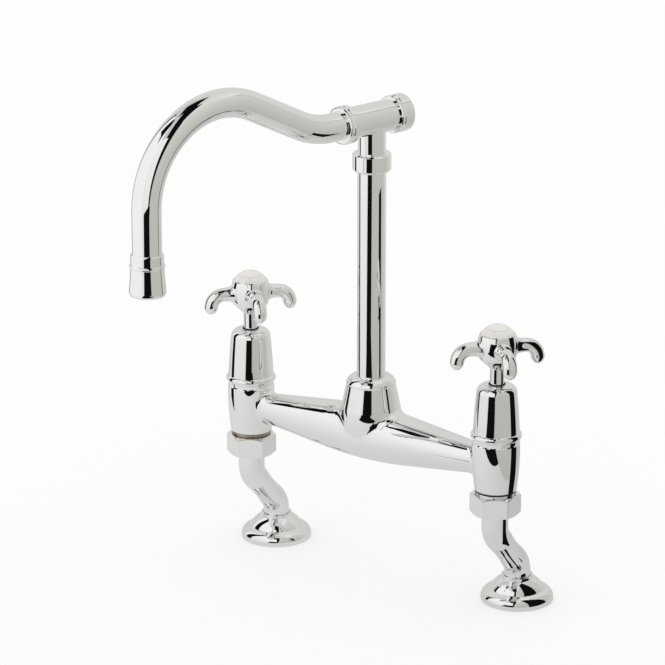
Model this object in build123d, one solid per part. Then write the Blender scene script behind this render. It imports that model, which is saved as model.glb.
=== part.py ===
from build123d import *
import math
import os

# A kitchen mixer tap for a sink or worktop, standing on two cranked legs.
# A cast bridge joins a hot and a cold valve. A riser turns in the hub at the middle of the
# bridge and carries a tee, from which a swan-neck spout runs forward.
# Sizes are in millimetres. The origin lies on the deck, midway between the two leg sockets.
# +X runs along the bridge towards the cold valve, -Y is the front and +Z is up.

# Layout
valve_spacing = 200.0  # between the two valve axes
leg_offset = 28.5  # how far the cranks set the sockets back from the valve axes
spout_swing = 14.0  # the spout rests turned this far towards the hot side

# Clearances
running_fit = 0.06  # radial, for a shaft that turns in its hole
free_gap = 0.35  # between faces that pass each other without touching
slip_fit = 0.05  # radial, for pieces pushed together and left there

# Foot flanges
flange_radius = 24.6
flange_rim_height = 2.0
flange_shoulder_radius = 18.6
flange_shoulder_height = 8.3
flange_shoulder_step = 0.5  # small step where the cone meets the bell
flange_swell_radius = 22.9  # a point half way down the bell
flange_swell_height = 5.9
flange_neck_radius = 10.9
flange_neck_height = 1.8
flange_height = 17.9
flange_edge = 0.5
flange_wall = 1.8

# Cranked legs
leg_radius = 8.9
leg_waist_radius = 8.2  # the tube is drawn in along the cranked run
leg_waist_flare = 0.35  # how fast the waist opens to the full radius
leg_bore_radius = 6.0
leg_foot_rise = 19.6  # straight length from the deck to the lower bend
leg_neck_length = 9.1  # straight length from the upper bend to the union nut
crank_bend_radius = 15.0
crank_angle = 43.5
socket_radius = 9.3  # half-inch female pipe thread, at its minor diameter
socket_depth = 10.0
foot_boss_radius = 12.0
foot_boss_cover = 0.6  # boss wall above the socket, below its cone
foot_boss_cone = 2.7
leg_head_radius = 12.2
leg_head_height = 3.4

# Union nuts
nut_flats = 29.5
nut_height = 14.2
nut_lip = 2.4
nut_chamfer_angle = 30.0
nut_gap = 2.5  # thread that shows between the nut and the bridge
nut_turn = 32.0  # how far a flat is turned from the front
tail_radius = 13.0  # three-quarter-inch male pipe thread
washer_thickness = 2.0
washer_bore_radius = 8.0

# Cast bridge
barrel_height = 33.5
barrel_foot_radius = 14.1
barrel_mid_radius = 15.6
barrel_top_radius = 15.8
barrel_edge = 0.6
arm_rise = 18.4  # arm axis above the foot of the barrels
arm_mid_radius = 18.1
arm_end_radius = 8.6
arm_belly = 33.0  # half the length of the rounded middle of the arms
arm_blend = 4.5
hub_rise = 35.4  # hub top above the arm axis
hub_top_radius = 16.5
hub_wide_radius = 19.9
hub_wide_rise = 19.0  # where the hub is widest, above the arm axis
hub_ball_radius = 19.3
hub_ball_rise = 6.0
hub_foot_radius = 14.0
hub_foot_drop = 9.0  # edge of the hub's underside, below the arm axis
hub_foot_depth = 3.0
hub_blend = 8.0
waterway_radius = 4.5

# Valve cartridges
chamber_radius = 11.0
chamber_floor = 7.0  # above the foot of the barrel
seat_seal_height = 2.0
cartridge_flange_radius = 12.4
cartridge_flange_height = 3.0
cartridge_hex_flats = 17.0
cartridge_hex_height = 9.0
cartridge_neck_radius = 7.2
cartridge_neck_height = 18.0
cartridge_hex_overlap = 1.0  # how far the hexagon reaches into the neck
disc_radius = 9.2
fixed_disc_height = 2.8
moving_disc_height = 3.0
disc_hub_radius = 2.0
port_margin = 1.6  # ring of ceramic left round the openings
port_angle = 76.0
drive_flange_height = 3.0

# Valve covers
cover_height = 39.8
cover_base_radius = 15.2
cover_bead_radius = 16.9
cover_bead_rise = 4.7
cover_bead_height = 4.8
cover_bead_root_radius = 15.4
cover_swell = 0.2  # how far the taper bulges
cover_shoulder_radius = 13.4
cover_shoulder_rise = 35.0
cover_dome_radius = 11.5  # a point half way up the domed top
cover_dome_rise = 3.2
cover_top_radius = 6.6
cover_top_slope = 0.25
cover_wall = 2.0

# Spindles and handles
spindle_radius = 4.75
spindle_bore_radius = 2.1
spindle_show = 11.1  # length that shows between cover and handle
handle_height = 23.7
handle_foot_radius = 4.9
handle_cone_height = 6.9
handle_cone_radius = 12.0
handle_hub_radius = 13.2
handle_hub_rise = 12.5
handle_rim_radius = 11.8
handle_edge = 0.3
handle_turn = 50.0  # the first arm's angle from the front, towards the cold side
arm_count = 4
grip_height = 14.2  # arm axis above the foot of the handle
grip_reach = 27.5  # from the spindle axis to the drooping tip
grip_root_radius = 4.0
grip_tip_radius = 4.4
grip_bend_radius = 8.0
button_radius = 11.1
button_seat_depth = 4.0
button_crown = 6.2
spindle_grip = 14.4  # length of spindle inside the handle
screw_web = 2.4
screw_head_radius = 4.4
screw_head_height = 2.6
screw_length = 8.0
screw_clearance = 0.4
screw_slot_width = 1.0
screw_slot_depth = 1.0

# Riser and its swivel
riser_radius = 9.5
riser_wall = 1.2
riser_length = 166.8
riser_seat = 5.2  # depth of the riser in the swivel spigot
hub_collar_radius = 16.7
hub_collar_height = 6.1
hub_collar_edge = 1.2
hub_collar_shoulder_radius = 14.9  # a point half way up the dome
hub_collar_shoulder_rise = 4.0
hub_collar_crown_radius = 10.7
hub_collar_thread_radius = 14.2
hub_collar_thread_length = 6.7
spigot_radius = 10.6
spigot_length = 16.5
spigot_bore_radius = 6.8
spigot_flange_radius = 12.4
spigot_flange_height = 3.2
glide_washer_height = 0.8
ring_section = 1.8  # thickness of the rubber rings
ring_pitch = 5.5
collar_radius = 12.85
collar_height = 12.2
collar_chamfer = 1.5
collar_top_chamfer = 0.9

# Tee at the top of the riser
branch_length = 29.0  # riser top to tee axis
branch_radius = 9.25
tee_radius = 10.6
tee_front = 20.0  # from the riser axis to the front collar
tee_rear = 16.0  # from the riser axis to the end cap
spout_collar_radius = 12.7
spout_collar_length = 8.2
spout_collar_chamfer = 0.9
spout_collar_lip = 2.6  # rounded lip in front of the groove
spout_collar_lip_round = 1.6
spout_collar_groove = 1.0  # width
spout_collar_groove_depth = 0.5
end_cap_radius = 12.65
end_cap_length = 11.6
end_cap_edge = 0.6
end_cap_bead = 2.2
end_cap_groove = 0.9  # width
end_cap_groove_depth = 0.6
end_cap_plug = 6.0
end_round = 1.6
end_cap_crown = 1.0

# Spout
spout_radius = 9.5
spout_wall = 1.2
spout_seat = 8.0  # length of the spout inside the tee
spout_level = 6.85  # straight length in front of the collar
rise_angle = 26.6
rise_radius = 60.0
rise_length = 43.9  # straight length of the climb
bend_radius = 59.5
spout_drop = 42.5  # straight length below the bend

# Nozzle
nozzle_length = 27.4
nozzle_overlap = 15.5  # length of the nozzle round the spout
sleeve_radius = 10.75
sleeve_length = 6.8
sleeve_edge = 0.7
sleeve_taper = 0.15
nozzle_bead_radius = 11.45
nozzle_bead_height = 2.3
skirt_top_radius = 10.8
skirt_radius = 11.95
skirt_hollow = 0.12  # how far the flare is hollowed
skirt_round = 3.1
skirt_round_radius = 11.6  # a point on the round at the mouth
skirt_round_rise = 1.24
mouth_radius = 10.9
aerator_radius = 9.5
aerator_height = 8.0
aerator_recess = 1.0
aerator_wall = 1.3
aerator_ledge = 1.2
mesh_bar = 0.7
mesh_pitch = 2.9
mesh_height = 1.2

# Derived places
valve_x = valve_spacing / 2
valve_y = -leg_offset
crank_turn = math.radians(crank_angle)
crank_run = (leg_offset - 2 * crank_bend_radius * (1 - math.cos(crank_turn))) / math.sin(crank_turn)
crank_height = 2 * crank_bend_radius * math.sin(crank_turn) + crank_run * math.cos(crank_turn)
nut_bottom = leg_foot_rise + crank_height + leg_neck_length
nut_top = nut_bottom + nut_height
barrel_bottom = nut_top + nut_gap
barrel_top = barrel_bottom + barrel_height
head_bottom = nut_bottom + nut_lip
head_top = head_bottom + leg_head_height
tail_bottom = head_top + washer_thickness
arm_z = barrel_bottom + arm_rise
hub_top = arm_z + hub_rise
chamber_bottom = barrel_bottom + chamber_floor
disc_bottom = chamber_bottom + seat_seal_height
moving_disc_bottom = disc_bottom + fixed_disc_height
drive_bottom = moving_disc_bottom + moving_disc_height
drive_top = drive_bottom + drive_flange_height
cartridge_flange_top = barrel_top + cartridge_flange_height
cartridge_hex_top = cartridge_flange_top + cartridge_hex_height
cartridge_top = cartridge_hex_top + cartridge_neck_height
cover_top = barrel_top + cover_height
handle_bottom = cover_top + spindle_show
handle_top = handle_bottom + handle_height
spindle_top = handle_bottom + spindle_grip
screw_seat = spindle_top + screw_web
button_seat = handle_top - button_seat_depth
spigot_shoulder = hub_top - hub_collar_thread_length - glide_washer_height - spigot_flange_height - free_gap
spigot_bottom = spigot_shoulder - spigot_length
spigot_top = spigot_shoulder + spigot_flange_height
riser_bottom = spigot_top - riser_seat
riser_top = riser_bottom + riser_length
tee_z = riser_top + branch_length
rise_turn = math.radians(rise_angle)
spout_start = tee_front + spout_collar_length - spout_seat
spout_climb = tee_front + spout_collar_length + spout_level  # where the neck starts to rise
climb_run = rise_radius * math.sin(rise_turn) + rise_length * math.cos(rise_turn)
climb_height = rise_radius * (1 - math.cos(rise_turn)) + rise_length * math.sin(rise_turn)
spout_reach = spout_climb + climb_run + bend_radius * (1 + math.sin(rise_turn))  # riser axis to nozzle axis
spout_crown = climb_height + bend_radius * (1 - math.cos(rise_turn))  # centre line above the tee axis
spout_end = tee_z + spout_crown - bend_radius - spout_drop
bridge_axis = Pos(0, valve_y, 0)
spout_frame = Pos(0, valve_y, 0) * Rot(0, 0, -spout_swing)


def turned(outline):
    """A solid of revolution about Z from a closed outline drawn as radius and height."""
    return revolve(Plane.XZ * make_face(outline), Axis.Z)


def turned_ring(inner, outer, low, high):
    """A plain ring or, where inner is zero, a plain disc."""
    return turned(Polyline((inner, low), (outer, low), (outer, high), (inner, high), close=True))


def drum(radius, low, high):
    """A plain round plug between two heights."""
    return Pos(0, 0, (low + high) / 2) * Cylinder(radius, high - low)


def ring_groove(radius, height):
    """The cut for a rubber ring in a shaft of the given radius."""
    half = ring_section / 2
    return turned_ring(radius - ring_section, 2 * radius, height - half, height + half)


def seal_ring(radius, height):
    """A square-section rubber ring, flush with the shaft whose groove it fills."""
    half = ring_section / 2
    return turned_ring(radius - ring_section, radius, height - half, height + half)


def leg_points():
    """The tangent points of a leg's centre line: foot end, crank start, crank end and neck start."""
    side = crank_bend_radius * (1 - math.cos(crank_turn))
    rise = crank_bend_radius * math.sin(crank_turn)
    return (
        Vector(0, 0, leg_foot_rise),
        Vector(0, -side, leg_foot_rise + rise),
        Vector(0, side - leg_offset, leg_foot_rise + crank_height - rise),
        Vector(0, -leg_offset, leg_foot_rise + crank_height),
    )


def leg_path():
    """The centre line of a cranked leg, from the deck up to the head, in the leg's own frame."""
    foot_end, crank_start, crank_end, neck_start = leg_points()
    return (
        Line((0, 0, 0), foot_end)
        + TangentArc(foot_end, crank_start, tangent=(0, 0, 1))
        + Line(crank_start, crank_end)
        + TangentArc(crank_end, neck_start, tangent=crank_end - crank_start)
        + Line(neck_start, (0, -leg_offset, head_top))
    )


def leg():
    """A cranked leg, with a head for the union nut and a socket that stands on the deck."""
    foot_end, crank_start, crank_end, neck_start = leg_points()
    half = crank_run / 2
    flare = leg_radius + leg_waist_flare
    waist = turned(
        ThreePointArc((flare, -half), (leg_waist_radius, 0), (flare, half))
        + Polyline((flare, half), (2 * leg_radius, half), (2 * leg_radius, -half), (flare, -half))
    )
    crank = Plane(origin=(crank_start + crank_end) / 2, z_dir=crank_end - crank_start)
    boss_top = socket_depth + foot_boss_cover
    boss = turned(
        Polyline(
            (0, 0),
            (foot_boss_radius, 0),
            (foot_boss_radius, boss_top),
            (leg_radius, boss_top + foot_boss_cone),
            (0, boss_top + foot_boss_cone),
            close=True,
        )
    )
    path = leg_path()
    body = sweep(Circle(leg_radius), path=path) - crank * waist + boss
    body += Pos(0, -leg_offset, 0) * drum(leg_head_radius, head_bottom, head_top)
    bore = sweep(Circle(leg_bore_radius), path=path)
    return body - bore - drum(socket_radius, 0, socket_depth)


def foot_flange():
    """The bell that hides the socket, with a ring round its neck and a thin rim on the deck."""
    neck_low = flange_height - flange_neck_height
    bore = leg_radius + slip_fit
    outer = (
        Polyline(
            (bore, flange_height),
            (flange_neck_radius - flange_edge, flange_height),
            (flange_neck_radius, flange_height - flange_edge),
            (flange_neck_radius, neck_low),
            (flange_shoulder_radius - flange_shoulder_step, flange_shoulder_height + flange_shoulder_step),
            (flange_shoulder_radius, flange_shoulder_height),
        )
        + ThreePointArc(
            (flange_shoulder_radius, flange_shoulder_height),
            (flange_swell_radius, flange_swell_height),
            (flange_radius, flange_rim_height),
        )
        + Polyline(
            (flange_radius, flange_rim_height),
            (flange_radius, flange_edge),
            (flange_radius - flange_edge, 0),
            (flange_radius - flange_wall, 0),
            (flange_radius - flange_wall, flange_rim_height),
            (flange_shoulder_radius - flange_wall, flange_shoulder_height - flange_wall),
            (bore + flange_wall, neck_low),
            (bore, neck_low),
            (bore, flange_height),
        )
    )
    return turned(outer)


def union_nut():
    """The hexagon nut that draws the leg's head up to the bridge."""
    corner = nut_flats / math.sqrt(3)
    face = nut_flats / 2
    slope = (corner - face) * math.tan(math.radians(nut_chamfer_angle))
    hexagon = extrude(Rot(0, 0, nut_turn) * RegularPolygon(corner, 6), nut_height)
    chamfered = Polyline(
        (0, 0),
        (face, 0),
        (corner, slope),
        (corner, nut_height - slope),
        (face, nut_height),
        (0, nut_height),
        close=True,
    )
    nut = Pos(0, 0, nut_bottom) * (hexagon & turned(chamfered))
    nut -= drum(leg_radius + free_gap, nut_bottom, nut_top)
    nut -= drum(leg_head_radius + free_gap, head_bottom, nut_top)
    return nut - drum(tail_radius + slip_fit, tail_bottom, nut_top)


def barrel():
    """One valve body of the bridge, as a solid round its own axis."""
    foot = (barrel_foot_radius, barrel_bottom + barrel_edge)
    shoulder = (barrel_top_radius, barrel_top - barrel_edge)
    return turned(
        Polyline((0, barrel_bottom), (barrel_foot_radius - barrel_edge, barrel_bottom), foot)
        + ThreePointArc(foot, (barrel_mid_radius, arm_z), shoulder)
        + Polyline(shoulder, (barrel_top_radius - barrel_edge, barrel_top), (0, barrel_top))
        + Line((0, barrel_top), (0, barrel_bottom))
    )


def arms():
    """Both arms of the bridge as one long spindle shape along X, with its seam underneath."""
    taper = (arm_mid_radius - arm_end_radius) / (valve_x - arm_belly / 2)
    belly_radius = arm_mid_radius - arm_belly * taper / 2
    outline = (
        Line((-valve_x, 0), (-valve_x, arm_end_radius))
        + Line((-valve_x, arm_end_radius), (-arm_belly, belly_radius))
        + ThreePointArc((-arm_belly, belly_radius), (0, arm_mid_radius), (arm_belly, belly_radius))
        + Line((arm_belly, belly_radius), (valve_x, arm_end_radius))
        + Line((valve_x, arm_end_radius), (valve_x, 0))
        + Line((valve_x, 0), (-valve_x, 0))
    )
    return Pos(0, 0, arm_z) * Rot(180, 0, 0) * revolve(Plane.XZ * make_face(outline), Axis.X)


def hub():
    """The cone that rises from the middle of the bridge and closes under it like a ball."""
    wide = (hub_wide_radius, arm_z + hub_wide_rise)
    foot = (hub_foot_radius, arm_z - hub_foot_drop)
    return turned(
        Polyline((0, hub_top), (hub_top_radius, hub_top), wide)
        + ThreePointArc(wide, (hub_ball_radius, arm_z + hub_ball_rise), foot)
        + Polyline(foot, (0, arm_z - hub_foot_drop - hub_foot_depth), (0, hub_top))
    )


def bridge_body():
    """The casting: two barrels, the arms and the hub, with the waterways bored through it."""
    body = arms() + Rot(0, 0, 90) * hub()
    hub_foot = [edge for edge in body.edges() if edge.geom_type == GeomType.BSPLINE]
    body = fillet(hub_foot, hub_blend)
    body += Pos(valve_x, 0, 0) * barrel() + Pos(-valve_x, 0, 0) * Rot(0, 0, 180) * barrel()
    start = valve_x - barrel_top_radius - arm_blend
    end = valve_x - barrel_foot_radius / 2
    seams = [edge for edge in body.edges() if edge.geom_type == GeomType.BSPLINE]
    body = fillet([edge for edge in seams if start < abs(edge.center().X) < end], arm_blend)
    for x in (-valve_x, valve_x):
        axis = Pos(x, 0, 0)
        body += axis * drum(tail_radius, tail_bottom, barrel_bottom)
        body -= axis * drum(washer_bore_radius, tail_bottom, chamber_bottom)
        body -= axis * drum(chamber_radius, chamber_bottom, barrel_top)
    body -= Pos(0, 0, arm_z) * Rot(0, 90, 0) * Cylinder(waterway_radius, valve_spacing)
    body -= drum(spigot_radius + running_fit, arm_z, spigot_shoulder)
    body -= drum(spigot_flange_radius + free_gap, spigot_shoulder, hub_top)
    body -= drum(hub_collar_thread_radius, hub_top - hub_collar_thread_length, hub_top)
    return bridge_axis * body


def union_washer():
    """The flat fibre washer squeezed between the leg's head and the bridge."""
    return turned_ring(washer_bore_radius, leg_head_radius, head_top, tail_bottom)


def seat_seal():
    """The rubber ring under the cartridge."""
    return turned_ring(washer_bore_radius, chamber_radius - slip_fit, chamber_bottom, disc_bottom)


def port(radius):
    """A quarter opening of a ceramic disc, as a long wedge to cut with."""
    half = math.radians(port_angle) / 2
    across, along = math.sin(half), math.cos(half)
    near_low = (disc_hub_radius * along, -disc_hub_radius * across)
    near_high = (disc_hub_radius * along, disc_hub_radius * across)
    far_low = (radius * along, -radius * across)
    far_high = (radius * along, radius * across)
    sides = Polyline(far_low, near_low, near_high, far_high)
    return extrude(make_face(sides + ThreePointArc(far_high, (radius, 0), far_low)), barrel_height)


def ceramic_disc(low, height, turn):
    """A ceramic disc with two openings opposite each other."""
    disc = drum(disc_radius - free_gap, low, low + height)
    for side in (0, 180):
        disc -= Pos(0, 0, low - height) * Rot(0, 0, turn + side) * port(disc_radius - port_margin)
    return disc


def cartridge():
    """The brass headwork that holds the discs and guides the spindle."""
    bore = spindle_radius + running_fit
    outline = Polyline(
        (bore, drive_top + free_gap),
        (disc_radius, drive_top + free_gap),
        (disc_radius, disc_bottom),
        (chamber_radius - slip_fit, disc_bottom),
        (chamber_radius - slip_fit, barrel_top),
        (cartridge_flange_radius, barrel_top),
        (cartridge_flange_radius, cartridge_flange_top),
        (cartridge_neck_radius, cartridge_flange_top),
        (cartridge_neck_radius, cartridge_top),
        (bore, cartridge_top),
        close=True,
    )
    hexagon = extrude(RegularPolygon(cartridge_hex_flats / math.sqrt(3), 6), cartridge_hex_height)
    hexagon = Pos(0, 0, cartridge_flange_top) * hexagon
    hexagon -= drum(cartridge_neck_radius - cartridge_hex_overlap, cartridge_flange_top, cartridge_top)
    window = Pos(0, 0, arm_z) * Rot(0, 90, 0) * Cylinder(waterway_radius, 3 * chamber_radius)
    return turned(outline) - window + hexagon


def valve_cover():
    """The tapered cover over the headwork, with a bead round its foot and a domed top."""
    shoulder = barrel_top + cover_shoulder_rise
    bead_low = barrel_top + cover_bead_rise - cover_bead_height / 2
    bead_high = bead_low + cover_bead_height
    bore = spindle_radius + free_gap
    cavity = cartridge_flange_radius + free_gap
    taper_radius = (cover_bead_root_radius + cover_shoulder_radius) / 2 + cover_swell
    outline = (
        Polyline(
            (cavity, barrel_top),
            (cover_base_radius, barrel_top),
            (cover_bead_root_radius, bead_low),
        )
        + ThreePointArc(
            (cover_bead_root_radius, bead_low),
            (cover_bead_radius, barrel_top + cover_bead_rise),
            (cover_bead_root_radius, bead_high),
        )
        + ThreePointArc(
            (cover_bead_root_radius, bead_high),
            (taper_radius, (bead_high + shoulder) / 2),
            (cover_shoulder_radius, shoulder),
        )
        + ThreePointArc(
            (cover_shoulder_radius, shoulder),
            (cover_dome_radius, shoulder + cover_dome_rise),
            (cover_top_radius, cover_top - cover_top_slope),
        )
        + Polyline(
            (cover_top_radius, cover_top - cover_top_slope),
            (bore, cover_top),
            (bore, cover_top - cover_wall - cover_top_slope),
            (cover_dome_radius - cover_wall, shoulder + cover_dome_rise - cover_wall),
            (cover_shoulder_radius - cover_wall, shoulder - cover_wall),
            (cavity, bead_high),
            (cavity, barrel_top),
        )
    )
    return turned(outline)


def spindle():
    """The turning stem, with the flange that drives the moving disc and two ring grooves."""
    stem = drum(spindle_radius, drive_top, spindle_top)
    stem += drum(disc_radius - free_gap, drive_bottom, drive_top)
    for height in spindle_ring_heights():
        stem -= ring_groove(spindle_radius, height)
    return stem - drum(spindle_bore_radius, screw_seat - screw_length, spindle_top)


def spindle_ring_heights():
    """Heights of the two rubber rings in the cartridge neck."""
    middle = cartridge_hex_top
    return (middle, middle + ring_pitch)


def grip():
    """One drooping arm of a handle, along +X from the spindle axis."""
    level = grip_reach - grip_bend_radius
    bend_start = Plane(origin=(level, 0, 0), z_dir=(1, 0, 0))
    arm = Pos(level / 2, 0, 0) * Rot(0, 90, 0) * Cone(grip_root_radius, grip_tip_radius, level)
    arm += revolve(bend_start * Circle(grip_tip_radius), Axis((level, 0, -grip_bend_radius), (0, 1, 0)), 90)
    return arm + Pos(grip_reach, 0, -grip_bend_radius) * Sphere(grip_tip_radius)


def handle():
    """The cross handle: a bulb with a conical foot, drooping arms and a rim round the button."""
    hub_z = handle_bottom + handle_hub_rise
    cone_z = handle_bottom + handle_cone_height
    outline = (
        Polyline((0, handle_bottom), (handle_foot_radius, handle_bottom), (handle_cone_radius, cone_z))
        + ThreePointArc(
            (handle_cone_radius, cone_z),
            (handle_hub_radius, hub_z),
            (handle_rim_radius, handle_top - handle_edge),
        )
        + Polyline(
            (handle_rim_radius, handle_top - handle_edge),
            (handle_rim_radius - handle_edge, handle_top),
            (0, handle_top),
            (0, handle_bottom),
        )
    )
    body = turned(outline)
    for index in range(arm_count):
        arm = Pos(0, 0, handle_bottom + grip_height) * Rot(0, 0, index * 360 / arm_count) * grip()
        body += arm
    body -= drum(spindle_radius + slip_fit, handle_bottom, spindle_top)
    body -= drum(spindle_bore_radius + screw_clearance, spindle_top, screw_seat)
    body -= drum(screw_head_radius + free_gap, screw_seat, button_seat)
    return body - drum(button_radius + slip_fit, button_seat, handle_top)


def index_button():
    """The domed porcelain button that hides the handle screw."""
    return turned(
        Line((0, button_seat), (button_radius, button_seat))
        + Line((button_radius, button_seat), (button_radius, handle_top))
        + TangentArc((0, handle_top + button_crown), (button_radius, handle_top), tangent=(1, 0))
        + Line((0, handle_top + button_crown), (0, button_seat))
    )


def handle_screw():
    """The pan-head screw that holds a handle on its spindle."""
    head_top = screw_seat + screw_head_height
    head = drum(screw_head_radius, screw_seat, head_top)
    slot = Pos(0, 0, head_top) * Box(3 * screw_head_radius, screw_slot_width, 2 * screw_slot_depth)
    return head - slot + drum(spindle_bore_radius, screw_seat - screw_length, screw_seat)


def hub_collar():
    """The domed ring screwed into the hub, which keeps the swivel spigot down."""
    bore = riser_radius + running_fit
    thread = hub_collar_thread_radius - slip_fit
    thread_end = hub_top - hub_collar_thread_length
    edge = hub_top + hub_collar_edge
    top = hub_top + hub_collar_height
    outline = (
        Polyline(
            (bore, thread_end),
            (thread, thread_end),
            (thread, hub_top),
            (hub_top_radius, hub_top),
            (hub_collar_radius, edge),
        )
        + ThreePointArc(
            (hub_collar_radius, edge),
            (hub_collar_shoulder_radius, hub_top + hub_collar_shoulder_rise),
            (hub_collar_crown_radius, top),
        )
        + Polyline((hub_collar_crown_radius, top), (bore, top), (bore, thread_end))
    )
    return turned(outline)


def swivel_spigot():
    """The brass spigot under the riser: a socket, a flange and a grooved journal."""
    outline = Polyline(
        (spigot_bore_radius, spigot_bottom),
        (spigot_radius, spigot_bottom),
        (spigot_radius, spigot_shoulder),
        (spigot_flange_radius, spigot_shoulder),
        (spigot_flange_radius, spigot_top),
        (riser_radius, spigot_top),
        (riser_radius, riser_bottom),
        (spigot_bore_radius, riser_bottom),
        close=True,
    )
    body = turned(outline)
    for height in spigot_ring_heights():
        body -= ring_groove(spigot_radius, height)
    return body


def spigot_ring_heights():
    """Heights of the two rubber rings on the spigot."""
    upper = riser_bottom - ring_section
    return (upper, upper - ring_pitch)


def swivel_rings():
    """Both rubber rings of the swivel, as a group of separate solids."""
    upper, lower = spigot_ring_heights()
    return seal_ring(spigot_radius, upper) + seal_ring(spigot_radius, lower)


def glide_washer():
    """The slippery washer between the spigot's flange and the hub collar."""
    top = spigot_top + glide_washer_height
    return turned_ring(riser_radius + slip_fit, spigot_flange_radius, spigot_top, top)


def riser_tube():
    """The plain tube between the hub and the tee."""
    return turned_ring(riser_radius - riser_wall, riser_radius, riser_bottom, riser_top)


def riser_collar():
    """The chamfered ring that covers the joint between riser and tee."""
    low = riser_top - collar_height / 2
    high = riser_top + collar_height / 2
    outline = Polyline(
        (riser_radius, low),
        (collar_radius - collar_chamfer, low),
        (collar_radius, low + collar_chamfer),
        (collar_radius, high - collar_top_chamfer),
        (collar_radius - collar_top_chamfer, high),
        (branch_radius, high),
        (branch_radius, riser_top),
        (riser_radius, riser_top),
        close=True,
    )
    return turned(outline)


def along_tee(outline):
    """A solid of revolution about the tee's level axis, whose heights run towards the front."""
    return Pos(0, 0, tee_z) * Rot(90, 0, 0) * turned(outline)


def tee_body():
    """The level tube that joins the branch on the riser to the spout and the end cap."""
    tube_bore = riser_radius - riser_wall
    body = along_tee(
        Polyline((0, -tee_rear), (tee_radius, -tee_rear), (tee_radius, tee_front), (0, tee_front), close=True)
    )
    body += drum(branch_radius, riser_top, tee_z)
    body -= drum(tube_bore, riser_top, tee_z)
    bore = Polyline(
        (0, -tee_rear),
        (tube_bore, -tee_rear),
        (tube_bore, spout_start),
        (spout_radius, spout_start),
        (spout_radius, tee_front),
        (0, tee_front),
        close=True,
    )
    return body - along_tee(bore)


def spout_collar():
    """The ring at the front of the tee where the spout enters."""
    front = tee_front + spout_collar_length
    lip = front - spout_collar_lip
    face = spout_collar_radius - spout_collar_lip_round
    outline = (
        Polyline(
            (spout_radius, tee_front),
            (spout_collar_radius - spout_collar_chamfer, tee_front),
            (spout_collar_radius, tee_front + spout_collar_chamfer),
            (spout_collar_radius, lip - spout_collar_groove),
            (spout_collar_radius - spout_collar_groove_depth, lip - spout_collar_groove / 2),
            (spout_collar_radius, lip),
            (spout_collar_radius, front - spout_collar_lip_round),
        )
        + TangentArc((spout_collar_radius, front - spout_collar_lip_round), (face, front), tangent=(0, 1))
        + Polyline((face, front), (spout_radius, front), (spout_radius, tee_front))
    )
    return along_tee(outline)


def tee_end_cap():
    """The cap that closes the back of the tee, with a bead at its mouth and a plug inside."""
    mouth = -tee_rear
    back = mouth - end_cap_length
    bead_end = mouth - end_cap_bead
    plug = riser_radius - riser_wall - slip_fit
    face = (end_cap_radius - end_round, back)
    outline = (
        Polyline(
            (0, mouth + end_cap_plug),
            (plug, mouth + end_cap_plug),
            (plug, mouth),
            (end_cap_radius - end_cap_edge, mouth),
            (end_cap_radius, mouth - end_cap_edge),
            (end_cap_radius, bead_end),
            (end_cap_radius - end_cap_groove_depth, bead_end - end_cap_groove / 2),
            (end_cap_radius, bead_end - end_cap_groove),
            (end_cap_radius, back + end_round),
        )
        + TangentArc((end_cap_radius, back + end_round), face, tangent=(0, -1))
        + TangentArc((0, back - end_cap_crown), face, tangent=(1, 0))
        + Line((0, back - end_cap_crown), (0, mouth + end_cap_plug))
    )
    return along_tee(outline)


def spout_path():
    """The swan neck's centre line: level, then up, over the crown and straight down to the nozzle."""
    side = rise_radius * math.sin(rise_turn)
    lift = rise_radius * (1 - math.cos(rise_turn))
    level_end = (0, -spout_climb, tee_z)
    climb_start = (0, -spout_climb - side, tee_z + lift)
    climb_end = (0, -spout_climb - climb_run, tee_z + climb_height)
    fall_start = (0, -spout_reach, tee_z + spout_crown - bend_radius)
    return (
        Line((0, -spout_start, tee_z), level_end)
        + TangentArc(level_end, climb_start, tangent=(0, -1, 0))
        + Line(climb_start, climb_end)
        + TangentArc(climb_end, fall_start, tangent=(0, -math.cos(rise_turn), math.sin(rise_turn)))
        + Line(fall_start, (0, -spout_reach, spout_end))
    )


def spout_tube():
    """The swan neck, bent from one plain tube."""
    path = spout_path()
    start = Plane(origin=path @ 0, z_dir=path % 0)
    wall = Circle(spout_radius) - Circle(spout_radius - spout_wall)
    return sweep(start * wall, path=path)


def at_nozzle(shape):
    """Moves a shape drawn with the lower end of the spout at height zero to its place."""
    return Pos(0, -spout_reach, spout_end) * shape


def nozzle_shell():
    """The flared outlet: a sleeve on the spout, a bead and a skirt round the aerator."""
    top = nozzle_overlap
    bottom = nozzle_overlap - nozzle_length
    bead_high = top - sleeve_length
    bead_low = bead_high - nozzle_bead_height
    bore = spout_radius
    mouth_bore = aerator_radius + slip_fit
    outline = (
        Polyline(
            (bore, top),
            (sleeve_radius - sleeve_edge, top),
            (sleeve_radius - sleeve_taper, top - sleeve_edge),
            (sleeve_radius, bead_high),
        )
        + ThreePointArc(
            (sleeve_radius, bead_high),
            (nozzle_bead_radius, (bead_high + bead_low) / 2),
            (skirt_top_radius, bead_low),
        )
        + ThreePointArc(
            (skirt_top_radius, bead_low),
            ((skirt_top_radius + skirt_radius) / 2 - skirt_hollow, (bead_low + bottom + skirt_round) / 2),
            (skirt_radius, bottom + skirt_round),
        )
        + ThreePointArc(
            (skirt_radius, bottom + skirt_round),
            (skirt_round_radius, bottom + skirt_round_rise),
            (mouth_radius, bottom),
        )
        + Polyline(
            (mouth_radius, bottom),
            (mouth_bore, bottom),
            (mouth_bore, bottom + aerator_recess + aerator_height),
            (spout_radius - spout_wall, bottom + aerator_recess + aerator_height),
            (spout_radius - spout_wall, 0),
            (bore, 0),
            (bore, top),
        )
    )
    return at_nozzle(turned(outline))


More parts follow.
